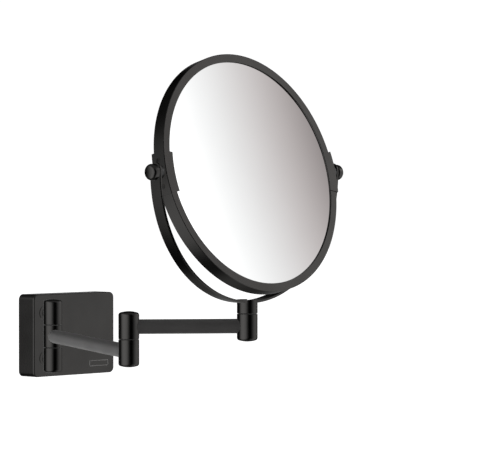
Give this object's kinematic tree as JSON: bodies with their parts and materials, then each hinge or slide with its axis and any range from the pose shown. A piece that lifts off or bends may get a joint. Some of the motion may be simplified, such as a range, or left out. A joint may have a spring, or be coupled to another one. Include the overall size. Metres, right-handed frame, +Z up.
{
  "type": "extendable shaving mirror",
  "caption": "Round tilting shaving mirror in a half-round yoke, on swinging arms that fold out from a rectangular wall plate.",
  "frame": {"origin": "centre of the wall plate's back face, on the wall", "axes": "+Z up; +Y into the wall, so -Y points out into the room; +X to the right for somebody facing the wall"},
  "size_m": [0.2446, 0.3407, 0.28],
  "materials": {
    "black_coat": "matt black powder coat, fine grained",
    "black_screws": "blackened steel screws",
    "zinc_plate": "zinc plated pressed steel",
    "bright_steel": "turned steel",
    "black_polymer": "self-lubricating polymer",
    "mirror_glass": "silvered glass",
    "foam": "closed-cell foam",
    "badge_satin": "satin black, with a fine raised border and no lettering"
  },
  "bodies": {
    "wall_bracket": {"wall_cover": "black_coat", "mounting_plate": "zinc_plate", "cover_grub_screw": "bright_steel", "blank_badge": "badge_satin", "upper_standoff": "black_coat", "lower_standoff": "black_coat", "standoff_washers": "bright_steel", "standoff_nuts": "bright_steel", "upper_fixed_knuckle": "black_coat", "lower_fixed_knuckle": "black_coat", "wall_hinge_pin": "bright_steel", "wall_hinge_nut": "bright_steel", "wall_hinge_springs": "bright_steel", "wall_hinge_cap": "black_coat", "wall_friction_washers": "black_polymer"},
    "lower_arm": {"lower_arm_knuckle": "black_coat", "wall_hinge_bushes": "black_polymer", "lower_arm_rod": "black_coat", "elbow_lower_knuckle": "black_coat", "elbow_hinge_bush": "black_polymer", "elbow_hinge_springs": "bright_steel", "elbow_hinge_cap": "black_coat", "elbow_friction_washer": "black_polymer"},
    "upper_arm": {"elbow_upper_knuckle": "black_coat", "elbow_hinge_pin": "bright_steel", "elbow_hinge_nut": "bright_steel", "upper_arm_rod": "black_coat", "head_lower_knuckle": "black_coat", "head_hinge_bush": "black_polymer", "head_hinge_springs": "bright_steel", "head_hinge_cap": "black_coat", "head_friction_washer": "black_polymer"},
    "yoke": {"yoke_strip": "black_coat", "head_upper_knuckle": "black_coat", "head_hinge_pin": "black_screws", "head_hinge_nut": "bright_steel", "left_pivot_bush": "black_polymer", "right_pivot_bush": "black_polymer"},
    "mirror": {"upper_rim_half": "black_coat", "lower_rim_half": "black_coat", "magnifying_glass": "mirror_glass", "plain_glass": "mirror_glass", "foam_ring": "foam", "left_clip": "black_coat", "right_clip": "black_coat", "left_clip_screws": "black_screws", "right_clip_screws": "black_screws", "left_nut_plate": "bright_steel", "right_nut_plate": "bright_steel", "left_pivot_washer": "black_polymer", "right_pivot_washer": "black_polymer", "left_knob_screw": "black_coat", "right_knob_screw": "black_coat"}
  },
  "joints": [
    {"name": "wall_swing", "type": "hinge", "parent": "wall_bracket", "child": "lower_arm", "pos_m": [-0.0367, -0.0307, 0], "axis": [0, 0, 1], "range_deg": [-61, 118]},
    {"name": "elbow_swing", "type": "hinge", "parent": "lower_arm", "child": "upper_arm", "pos_m": [-0.15446, -0.24668, 0.0102], "axis": [0, 0, 1], "continuous": true},
    {"name": "head_swing", "type": "hinge", "parent": "upper_arm", "child": "yoke", "pos_m": [-0.08059, -0.30955, 0.0306], "axis": [0, 0, 1], "continuous": true},
    {"name": "mirror_tilt", "type": "hinge", "parent": "yoke", "child": "mirror", "pos_m": [-0.08059, -0.30955, 0.146], "axis": [1, 0, 0], "continuous": true}
  ]
}
